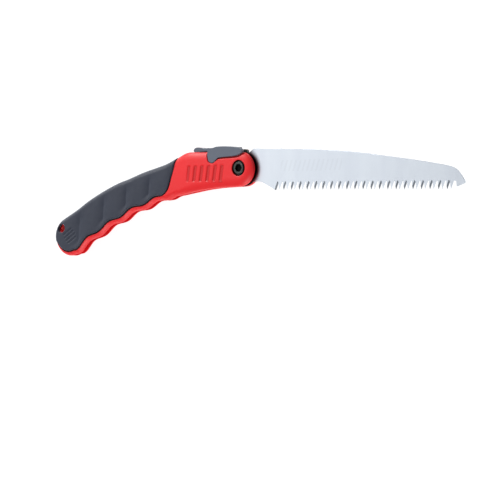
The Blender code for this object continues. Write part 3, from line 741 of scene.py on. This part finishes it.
def build_pivot(looks):
    head = HALF_THICKNESS - HEAD_RECESS_DEPTH + WASHER_SPACE
    top, end = head + BOLT_HEAD_HEIGHT, -HALF_THICKNESS + BOLT_END
    corners = [(0.0, end), (BOLT_RADIUS, end), (BOLT_RADIUS, head), (BOLT_HEAD_RADIUS, head),
               (BOLT_HEAD_RADIUS, top), (BOLT_HEAD_FLAT, top), (0.0, top - 0.05)]
    profile = fillet(corners, (0.0, 0.4, 0.2, 0.2, 0.75, 0.3, 0.0), 4)
    bolt = new_object("bolt", turned_profile(profile, sides=96))
    cut(bolt, prism(circle((0, 0), HEX_RADIUS, 6), head + HEX_FLOOR, OVER))
    bevel(bolt, 0.14, 3, 40)
    mark_socket(bolt, top)
    finished(bolt, "handle", "black_steel", looks["black"], "pivot_bolt")
    face, back = -HALF_THICKNESS, NUT_THICKNESS - HALF_THICKNESS
    bore, floor = BOLT_RADIUS + FREE, end - FREE
    corners = [(0.0, face), (NUT_RADIUS, face), (NUT_RADIUS, back), (bore, back), (bore, floor), (0.0, floor)]
    nut = new_object("nut", turned_profile(fillet(corners, (0.0, 0.5, 0.3, 0.2, 0.0, 0.0), 4), sides=96))
    for x in SPANNER_PLACES:
        cut(nut, prism(circle((x, 0.0), SPANNER_RADIUS, 24), face - 1.0, face + SPANNER_DEPTH))
    bevel(nut, 0.1, 2, 40)
    finished(nut, "handle", "black_steel", looks["black"], "pivot_nut")


def mark_socket(bolt, top):
    """Marks how deep each point is in the bolt's socket, for a painted shade there in the material."""
    values = []
    for vertex in bolt.data.vertices:
        x, y, z = (vertex.co - PIVOT) / MM
        inside = 1.0 if math.hypot(x, y) < HEX_RADIUS + 0.05 and z > 0 else 0.0
        values.append(inside * ease(0.1, 0.5, top - z))
    mark_points(bolt, "sunk", values)


def build_screws(look):
    """The shells' screws, with a cross slit in each head."""
    face = SCREW_SEAT - FREE - SCREW_HEAD_HEIGHT
    length, width = SCREW_SLIT
    for number, (x, y) in enumerate(SCREW_PLACES, 1):
        corners = [(0.0, face), (SCREW_HEAD_RADIUS, face), (SCREW_HEAD_RADIUS, SCREW_SEAT - FREE),
                   (SCREW_RADIUS, SCREW_SEAT - FREE), (SCREW_RADIUS, SCREW_END), (0.0, SCREW_END)]
        profile = fillet(corners, (0.0, 0.9, 0.2, 0.0, 0.5, 0.0), 5)
        screw = new_object(f"screw_{number}", turned_profile(profile, (x, y), 48))
        for along, across in ((length, width), (width, length)):
            slit = rectangle(x - along, y - across, x + along, y + across)
            cut(screw, prism(slit, face - 1.15, face + SCREW_SLIT_DEPTH))
        bevel(screw, 0.08, 2, 40)
        finished(screw, "handle", "black_steel", look, f"shell_screw_{number}")


def build_spring(look):
    """The coil spring under the lever's thumb tab, with closed end turns."""
    curve = bpy.data.curves.new("coil_spring", "CURVE")
    curve.dimensions = "3D"
    curve.bevel_depth = SPRING_WIRE * MM
    curve.bevel_resolution = 4
    curve.use_fill_caps = True
    per_turn = 32
    count = int(per_turn * SPRING_TURNS)
    line = curve.splines.new("POLY")
    line.points.add(count)
    for k, point in enumerate(line.points):
        turn = k / per_turn
        share = ease(0.0, 1.0, turn / SPRING_TURNS) * 0.4 + turn / SPRING_TURNS * 0.6
        x, z = turned([(SPRING_RADIUS, 0.0)], 360 * turn)[0]
        place = Vector((SPRING_PLACE + x, SPRING_LOW + (SPRING_HIGH - SPRING_LOW) * share, z))
        point.co = (*(PIVOT + place * MM), 1.0)
    coil = added("coil", curve)
    spring = added("coil_spring", shaped(coil))
    bpy.data.objects.remove(coil, do_unlink=True)
    finished(spring, "handle", "bright_steel", look, "lever_spring")
    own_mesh(spring)


# ---- Lock lever ----

def build_lever(looks):
    """The lever's cap, with two ears under a roof and a thumb tab, and its steel core."""
    top = smooth(((3.6, 13.8), (2.8, 15.2), (-0.4, 16.5), (-6.5, 17.5), (-14.0, 17.95), (-18.8, 18.0),
                  (-23.0, 17.8), (-27.0, 16.9), (-31.9, 17.1)), 5)
    bottom = smooth(((-22.2, 7.8), (-20.6, 8.8), (-13.7, 9.3), (-5.5, 9.8), (-0.6, 10.6), (2.2, 12.2),
                     (3.6, 13.8)), 5)
    ear = [(-31.9, 11.0), *arc(LEVER_PIN, EAR_LOBE_RADIUS, 205, 318, 12), *bottom[:-1], *top]
    left_front = smooth(((-13.0, 5.0), (-10.6, 9.6), (-8.4, 12.0), (-7.4, 14.6), (-8.2, 16.6),
                         (-11.0, 20.0)), 4) + [(10.0, 20.0), (10.0, 5.0)]
    far_corner = rectangle(-5.0, 5.0, 10.0, 20.0)
    channel = [(-50.0, -5.0), (10.0, -5.0), (10.0, 30.0), (-3.2, 30.0), (-3.2, ROOF), (-50.0, ROOF)]
    tab_top = smooth(((-48.9, 14.9), (-48.6, 16.4), (-46.8, 17.7), (-44.2, 18.0), (-41.6, 17.7),
                      (-38.6, 16.9), (-34.0, 16.8), (-30.0, 17.2), (-27.0, 16.8)), 5)
    tab = [(-27.0, ROOF), (-33.0, 14.4), (-45.0, 13.9), (-47.6, 14.0), *tab_top]
    room = rectangle(-45.4, 10.0, 6.0, ROOF)
    cap = new_object("cap", prism(ear, -CAP_HALF_WIDTH, CAP_HALF_WIDTH))
    cut(cap, prism(left_front, CAP_FLOOR, -EAR_INNER + 0.2))
    cut(cap, prism(far_corner, CAP_FLOOR, 2.0))
    cut(cap, prism(channel, -EAR_INNER, EAR_INNER))
    cut(cap, prism(tab, -TAB_HALF_WIDTH, TAB_HALF_WIDTH), "UNION")
    cut(cap, prism(room, -CORE_ROOM, CORE_ROOM))
    soften(cap, CAP_VOXEL, 7, 0.6)
    finished(cap, "lock_lever", "lever_plastic", looks["lever"], "lever_cap", smooth_angle=0)
    outline = [(-1.2, 13.3), (-1.2, 12.3), (4.3, 12.3), (4.3, 14.3), (3.2, 15.3), (0.2, 15.3), (-1.6, 14.8),
               (-45.0, 14.8), (-45.0, 12.4), (-34.0, 12.0), *arc(LEVER_PIN, 3.4, 170, 330, 24),
               (-19.0, 10.6), (-8.0, 12.4), (-3.0, 13.3)]
    radii = [0.2, 0.2, 0.5, 0.9, 0.9, 0.9, 0.9, 0.5, 0.5, 0.8] + [0.0] * 25 + [1.5, 1.5, 0.3]
    core = new_object("core", prism(fillet(outline, radii, 4), -CORE_HALF, CORE_HALF))
    cut(core, prism(circle(LEVER_PIN, PIN_HOLE_RADIUS, 32), -3.0, 3.0))
    bevel(core, 0.2, 2, 40)
    finished(core, "lock_lever", "black_steel", looks["black"], "lever_core")


# ---- Blade ----

def tooth_line(x):
    return FIRST_TOOTH[1] + TOOTH_LINE_SLOPE * (x - FIRST_TOOTH[0])


def lock_notch(degrees):
    """The notch in the tang that the lever's hook drops into, turned about the pivot."""
    first, last = [(x, math.sqrt(TANG_RADIUS ** 2 - x ** 2)) for x in NOTCH_MOUTH]
    return turned([first, *NOTCH_FLOOR, last], degrees)


def bearing(point):
    """The direction of a point from the pivot, in degrees."""
    return math.degrees(math.atan2(point[1], point[0])) % 360


def blade_outline():
    """Points round the blade: (place on the right face, on the rim, on the left face, rim's two heights)."""
    opened, closed = lock_notch(0.0), lock_notch(FOLD_ANGLE)
    plain = [SHOULDER] + opened
    plain += arc((0, 0), TANG_RADIUS, bearing(opened[-1]), bearing(closed[0]), 60)[1:-1] + closed
    plain += arc((0, 0), TANG_RADIUS, bearing(closed[-1]), HEEL_BEARING, 14)[1:]
    plain += smooth(BLADE_HEEL[::-1], 8)
    points = [plain_point(place) for place in plain]
    for number in range(TOOTH_COUNT):
        made = tooth(FIRST_TOOTH[0] + TOOTH_PITCH * number, 1 if number % 2 == 0 else -1)
        points += made if number else made[1:]
    points += [plain_point(place) for place in BLADE_TIP[::-1]]
    spine = smooth(BLADE_SPINE, 12)[::-1]
    for before, place, after in zip(spine, spine[1:], spine[2:]):
        share = ease(*TIP_PLACES, place[0])
        width = SPINE_CHAMFER + (TIP_CHAMFER - SPINE_CHAMFER) * share
        edge = SPINE_EDGE + (TIP_EDGE - SPINE_EDGE) * share
        back = Vector((before[1] - after[1], after[0] - before[0])).normalized() * width
        inner = (place[0] + back.x, place[1] + back.y)
        points.append((inner, place, inner, edge, -edge))
    return points


def plain_point(place):
    return place, place, place, PLAIN_EDGE, -PLAIN_EDGE


def tooth(x, side):
    """One tooth, ground on its right (1) or left (-1) face: its left root, its tip and its right root."""
    y = tooth_line(x)
    root, inner_root = y + TOOTH_HEIGHT, y + TOOTH_HEIGHT + BEVEL_RISE
    left, right = x + GULLET_PLACE - TOOTH_PITCH + GULLET_WIDTH, x + GULLET_PLACE
    foot = (x + BEVEL_FOOT[0], y + BEVEL_FOOT[1])
    lean = GULLET_PLACE / TOOTH_HEIGHT
    inner_right = foot[0] + lean * (inner_root - foot[1])
    edges = ((left, root), (x, y), (right, root))
    ground = ((left + LEFT_BEVEL, inner_root), foot, (inner_right, inner_root))
    if side > 0:
        return [(inner, edge, edge, -TOOTH_EDGE, -PLAIN_EDGE) for edge, inner in zip(edges, ground)]
    return [(edge, edge, inner, PLAIN_EDGE, TOOTH_EDGE) for edge, inner in zip(edges, ground)]


def build_blade(look):
    """The blade between rings of points on its two faces and its rim."""
    mesh = bmesh.new()
    rings = [[], [], [], []]
    for right, rim, left, high, low in blade_outline():
        heights = (BLADE_HALF, high, low, -BLADE_HALF)
        for ring, place, height in zip(rings, (right, rim, rim, left), heights):
            ring.append(mesh.verts.new((*place, height)))
    mesh.faces.new(rings[0])
    mesh.faces.new(rings[3])
    for ring, below in zip(rings, rings[1:]):
        for k in range(len(ring)):
            n = (k + 1) % len(ring)
            mesh.faces.new((ring[k], below[k], below[n], ring[n]))
    mesh.normal_update()
    bmesh.ops.triangulate(mesh, faces=mesh.faces)
    blade = new_object("saw_blade", mesh, weld=0)
    cut(blade, prism(circle((0, 0), BORE_RADIUS, 64), -3.0, 3.0))
    mark_shaded_bevels(blade)
    finished(blade, "blade", "blade_steel", look, "blade", smooth_angle=8)


def mark_shaded_bevels(blade):
    """Marks for the material the teeth's ground bevels that face towards the tip, for a painted shade on
    them.
    """
    values = []
    for face in blade.data.polygons:
        toothed = (face.center.y - PIVOT.y) / MM < FIRST_TOOTH[1] + TOOTH_HEIGHT + BEVEL_RISE
        values.append(1.0 if toothed and face.normal.x > 0.3 and 0.3 < abs(face.normal.z) < 0.95 else 0.0)
    attribute = blade.data.attributes.new("ground", "FLOAT", "FACE")
    attribute.data.foreach_set("value", values)


# ---- Materials ----

class Look:
    """A Principled material whose detail comes from textures in the piece's own coordinates."""

    def __init__(self, name, colour, roughness, metallic=0.0, **sockets):
        self.material = bpy.data.materials.new(name)
        self.material.use_nodes = True
        self.nodes = self.material.node_tree.nodes
        self.shader = self.nodes["Principled BSDF"]
        self.colour = colour
        self.set("Base Color", (*colour, 1.0))
        self.set("Roughness", roughness)
        self.set("Metallic", metallic)
        for socket, value in sockets.items():
            self.set(socket.replace("_", " "), value)
        self.place = self.nodes.new("ShaderNodeTexCoord").outputs["Object"]

    def set(self, socket, value):
        self.shader.inputs[socket].default_value = value

    def link(self, start, end):
        self.material.node_tree.links.new(start, end)

    def noise(self, size, detail=3.0, stretch=(1.0, 1.0, 1.0)):
        """Noise whose features are about this many millimetres across."""
        mapping = self.nodes.new("ShaderNodeMapping")
        mapping.inputs["Scale"].default_value = stretch
        texture = self.nodes.new("ShaderNodeTexNoise")
        texture.inputs["Scale"].default_value = 1 / (size * MM)
        texture.inputs["Detail"].default_value = detail
        self.link(self.place, mapping.inputs["Vector"])
        self.link(mapping.outputs["Vector"], texture.inputs["Vector"])
        return texture.outputs["Fac"]

    def between(self, factor, low, high, start=0.3, end=0.7):
        """A number that follows a factor between two values."""
        node = self.nodes.new("ShaderNodeMapRange")
        for socket, value in zip(("From Min", "From Max", "To Min", "To Max"), (start, end, low, high)):
            node.inputs[socket].default_value = value
        self.link(factor, node.inputs["Value"])
        return node.outputs["Result"]

    def mix(self, factor, first, second):
        """A colour that follows a factor between two colours, each a tuple or a socket."""
        node = self.nodes.new("ShaderNodeMix")
        node.data_type = "RGBA"
        self.link(factor, node.inputs["Factor"])
        for socket, value in (("A", first), ("B", second)):
            target = next(s for s in node.inputs if s.name == socket and s.type == "RGBA")
            if isinstance(value, tuple):
                target.default_value = (*value, 1.0)
            else:
                self.link(value, target)
        return next(s for s in node.outputs if s.type == "RGBA")

    def vary(self, factor, amount):
        """Makes the colour a little darker and lighter by a factor."""
        dark = tuple(c * (1 - amount) for c in self.colour)
        light = tuple(min(1.0, c * (1 + amount)) for c in self.colour)
        return self.mix(factor, dark, light)

    def bump(self, height, distance, after=None, strength=1.0):
        node = self.nodes.new("ShaderNodeBump")
        node.inputs["Strength"].default_value = strength
        node.inputs["Distance"].default_value = distance * MM
        self.link(height, node.inputs["Height"])
        if after:
            self.link(after, node.inputs["Normal"])
        return node.outputs["Normal"]

    def to(self, value, socket):
        self.link(value, self.shader.inputs[socket])

    def attribute(self, name):
        node = self.nodes.new("ShaderNodeAttribute")
        node.attribute_name = name
        return node.outputs["Fac"]

    def arithmetic(self, operation, first, second=0.0):
        node = self.nodes.new("ShaderNodeMath")
        node.operation = operation
        for socket, value in zip(node.inputs, (first, second)):
            if isinstance(value, (int, float)):
                socket.default_value = value
            else:
                self.link(value, socket)
        return node.outputs[0]


def red_plastic():
    look = Look("red_moulding", (0.80, 0.009, 0.013), 0.38, IOR=1.5)
    base = look.vary(look.noise(22.0), 0.05)
    base = look.mix(look.attribute("sunk"), base, (0.56, 0.002, 0.003))
    # painted shade in the rubber's bed, round the pivot's recess and in the slot at the nose
    look.to(look.mix(look.attribute("dark"), base, (0.02, 0.002, 0.002)), "Base Color")
    look.to(look.between(look.noise(6.0, 4.0), 0.42, 0.49), "Roughness")
    grain = look.bump(look.noise(0.55, 2.0), 0.003)
    look.to(look.bump(look.noise(9.0, 1.0), 0.03, grain), "Normal")
    return look.material


def grip_rubber():
    look = Look("grip_rubber_skin", (0.0155, 0.0205, 0.038), 0.58, IOR=1.5, Sheen_Weight=0.45,
                Sheen_Roughness=0.4)
    look.set("Sheen Tint", (0.80, 0.86, 1.0, 1.0))
    look.to(look.vary(look.noise(16.0, 4.0), 0.12), "Base Color")
    look.to(look.between(look.noise(5.0, 4.0), 0.48, 0.58), "Roughness")
    look.to(look.bump(look.noise(0.35, 3.0), 0.02), "Normal")
    return look.material


def lever_plastic():
    look = Look("lever_moulding", (0.102, 0.120, 0.157), 0.40, IOR=1.5)
    look.to(look.vary(look.noise(8.0, 4.0), 0.08), "Base Color")
    look.to(look.between(look.noise(3.0, 4.0), 0.36, 0.46), "Roughness")
    look.to(look.bump(look.noise(0.3, 2.0), 0.012), "Normal")
    return look.material


def blade_steel():
    """Ground steel, brushed across the blade, with a plain, faint etched band of slanted dashes, and a
    painted shade round the pivot, beside the handle's nose."""
    look = Look("ground_steel", (0.60, 0.64, 0.69), 0.33, 1.0)
    scratches = look.noise(0.25, 3.0, (1.0, 0.03, 1.0))
    streaks = look.noise(14.0, 2.0, (1.0, 0.12, 1.0))
    split = look.nodes.new("ShaderNodeSeparateXYZ")
    look.link(look.place, split.inputs[0])
    x, y = split.outputs["X"], split.outputs["Y"]
    slant = look.arithmetic("SUBTRACT", x, look.arithmetic("MULTIPLY", y, DASH_SLANT))
    stripe = look.arithmetic("PINGPONG", slant, DASH_HALF_PITCH * MM)
    dash = look.arithmetic("GREATER_THAN", stripe, DASH_START * MM)
    inside = look.arithmetic("MULTIPLY", band(look, x, *ETCHED_ALONG), band(look, y, *ETCHED_ACROSS))
    etched = look.arithmetic("MULTIPLY", dash, inside)
    base = look.mix(look.between(streaks, 0.0, 1.0), (0.580, 0.620, 0.678), (0.610, 0.652, 0.705))
    base = look.mix(look.arithmetic("MULTIPLY", etched, 0.22), base, (0.47, 0.50, 0.54))
    # painted shade on the teeth's bevels that face towards the tip
    base = look.mix(look.arithmetic("MULTIPLY", look.attribute("ground"), 0.35), base, (0.10, 0.11, 0.12))
    # painted shade in a ring round the pivot, beside the handle's nose
    squares = look.arithmetic("ADD", look.arithmetic("POWER", x, 2.0), look.arithmetic("POWER", y, 2.0))
    nose_shade = look.between(look.arithmetic("SQRT", squares), 1.0, 0.0, NOSE_SHADE_RADII[0] * MM, NOSE_SHADE_RADII[1] * MM)
    look.to(look.mix(nose_shade, base, (0.02, 0.02, 0.025)), "Base Color")
    look.to(look.between(scratches, 0.29, 0.37), "Roughness")
    look.to(look.bump(scratches, 0.0008), "Normal")
    return look.material


def band(look, value, low, high):
    """1 where a coordinate in metres lies between two places in millimetres, and 0 elsewhere."""
    above = look.arithmetic("GREATER_THAN", value, low * MM)
    return look.arithmetic("MULTIPLY", above, look.arithmetic("LESS_THAN", value, high * MM))


def black_steel():
    look = Look("black_oxide", (0.062, 0.067, 0.062), 0.38, 1.0)
    wear = look.noise(2.2, 5.0)
    base = look.mix(look.between(wear, 0.0, 0.5, 0.60, 0.8), look.colour, (0.24, 0.24, 0.24))
    # painted shade deep in the bolt's socket
    look.to(look.mix(look.attribute("sunk"), base, (0.004, 0.004, 0.004)), "Base Color")
    look.to(look.between(look.noise(1.2, 4.0), 0.30, 0.48), "Roughness")
    look.to(look.bump(look.noise(0.4, 3.0), 0.012), "Normal")
    return look.material


def bright_steel():
    look = Look("zinc_plate", (0.70, 0.71, 0.73), 0.30, 1.0)
    look.to(look.vary(look.noise(2.0, 4.0), 0.08), "Base Color")
    look.to(look.between(look.noise(0.8, 4.0), 0.24, 0.40), "Roughness")
    look.to(look.bump(look.noise(0.25, 3.0), 0.008), "Normal")
    return look.material


# ---- Stage ----

def build_stage():
    mesh = bmesh.new()
    bmesh.ops.create_grid(mesh, x_segments=8, y_segments=8, size=FLOOR_HALF)
    data = bpy.data.meshes.new("floor")
    mesh.to_mesh(data)
    mesh.free()
    floor = added("floor", data)
    floor.location = (0.0, 0.0, cad_box[0][2] - FLOOR_GAP)
    look = Look("light_table", (0.30, 0.30, 0.30), 0.7, Emission_Strength=0.85)
    look.set("Emission Color", (1.0, 1.0, 1.0, 1.0))
    look.to(look.vary(look.noise(60.0, 2.0), 0.01), "Base Color")
    data.materials.append(look.material)


def add_light(name, towards, distance, size, brightness):
    """A round soft light in a direction from the saw, as bright to look at as the given radiance."""
    data = bpy.data.lights.new(name, "AREA")
    data.shape = "DISK"
    data.size = size
    data.energy = brightness * math.pi * math.pi * (size / 2) ** 2
    light = added(name, data)
    light.location = Vector(towards).normalized() * distance
    light.rotation_euler = Vector(towards).to_track_quat("Z", "Y").to_euler()


def build_lights():
    world = bpy.data.worlds.new("studio")
    world.use_nodes = True
    backdrop = world.node_tree.nodes["Background"]
    backdrop.inputs["Color"].default_value = (0.95, 0.97, 1.0, 1.0)
    backdrop.inputs["Strength"].default_value = WORLD_STRENGTH
    bpy.context.scene.world = world
    for light in LIGHTS:
        add_light(*light)


def build_camera():
    turn = math.radians(VIEW_TURN)
    towards = Vector((math.sin(turn), 0.0, math.cos(turn)))
    aside = Vector((math.cos(turn), 0.0, -math.sin(turn)))
    data = bpy.data.cameras.new("camera")
    data.lens = LENS
    camera = added("camera", data)
    place = towards * VIEW_DISTANCE + aside * VIEW_ASIDE + Vector((0.0, VIEW_ALONG, 0.0))
    camera.matrix_world = Matrix.Translation(PIVOT + place * MM) @ Matrix.Rotation(turn, 4, "Y")
    bpy.context.scene.camera = camera


def main():
    looks = {"red": red_plastic(), "rubber": grip_rubber(), "lever": lever_plastic(),
             "blade": blade_steel(), "black": black_steel(), "bright": bright_steel()}
    build_camera()
    build_stage()
    build_lights()
    bpy.context.scene.view_settings.view_transform = "Standard"
    for side in ("right", "left"):
        build_shell(side, looks["red"])
        build_grip(side, looks["rubber"])
    build_pivot(looks)
    build_screws(looks["black"])
    build_spring(looks["bright"])
    build_lever(looks)
    build_blade(looks["blade"])
    for node in ("blade_washer_left", "blade_washer_right", "lock_washer", "pivot_sleeve", "lever_pin"):
        frame["nodes"][node].data.materials.clear()
        frame["nodes"][node].data.materials.append(looks["bright"])


main()
